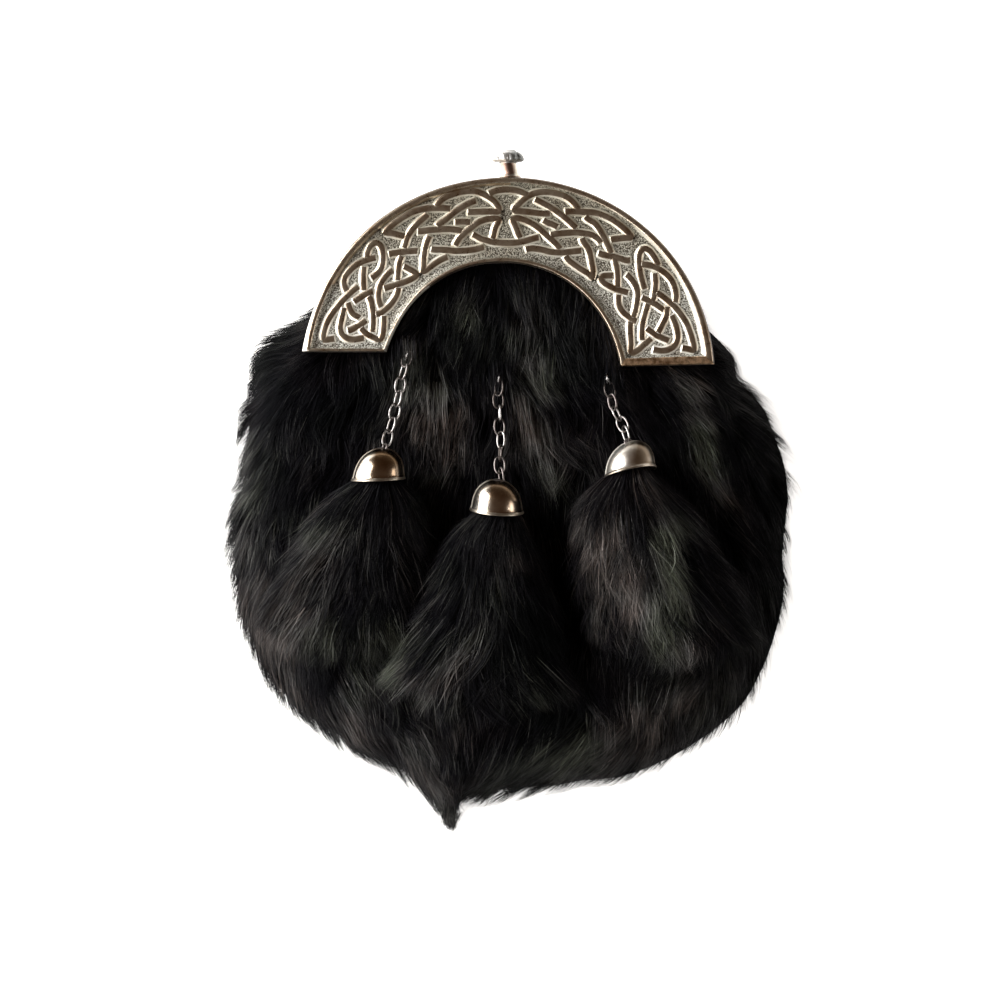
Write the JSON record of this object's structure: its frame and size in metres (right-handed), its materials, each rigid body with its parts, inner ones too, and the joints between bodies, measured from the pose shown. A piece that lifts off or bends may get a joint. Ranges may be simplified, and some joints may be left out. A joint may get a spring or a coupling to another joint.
{
  "type": "sporran pouch",
  "caption": "Full-dress sporran pouch with a long black fur front, a cast interlaced arch with a top knob, and fur tassels hung on link chains.",
  "frame": {"origin": "under the middle of the whole object's box, on the surface that it lies on, with the sporran on its back", "axes": "+Y from the fur's tip to the knob, +Z out of the fur front, +X to the right as the front is looked at with the knob up"},
  "size_m": [0.207, 0.25, 0.06],
  "materials": {
    "cast_silver": "cast relief, polished strands and rims over a bright stippled ground, tarnished brown in places",
    "knob_silver": "polished",
    "cap_chrome": "mirror polish",
    "chain_steel": "bright wire, slightly worn",
    "pouch_leather": "smooth black, satin",
    "back_leather": "grained black, satin",
    "loop_leather": "grained black, stitched",
    "black_fur": "long glossy black fur in clumps",
    "tassel_fur": "long glossy black fur"
  },
  "bodies": {
    "root": {"cantle": "cast_silver", "finial_knob": "knob_silver", "pouch_shell": "pouch_leather", "back_panel": "back_leather", "strap_loop_left": "loop_leather", "strap_loop_right": "loop_leather", "fur_front": "black_fur", "chain_staple_left": "chain_steel", "link_left_1": "chain_steel", "link_left_2": "chain_steel", "link_left_3": "chain_steel", "link_left_4": "chain_steel", "link_left_5": "chain_steel", "link_left_6": "chain_steel", "link_left_7": "chain_steel", "tassel_cap_left": "cap_chrome", "tassel_left": "tassel_fur", "chain_staple_middle": "chain_steel", "link_middle_1": "chain_steel", "link_middle_2": "chain_steel", "link_middle_3": "chain_steel", "link_middle_4": "chain_steel", "link_middle_5": "chain_steel", "link_middle_6": "chain_steel", "link_middle_7": "chain_steel", "link_middle_8": "chain_steel", "tassel_cap_middle": "cap_chrome", "tassel_middle": "tassel_fur", "chain_staple_right": "chain_steel", "link_right_1": "chain_steel", "link_right_2": "chain_steel", "link_right_3": "chain_steel", "link_right_4": "chain_steel", "link_right_5": "chain_steel", "tassel_cap_right": "cap_chrome", "tassel_right": "tassel_fur"}
  },
  "joints": []
}
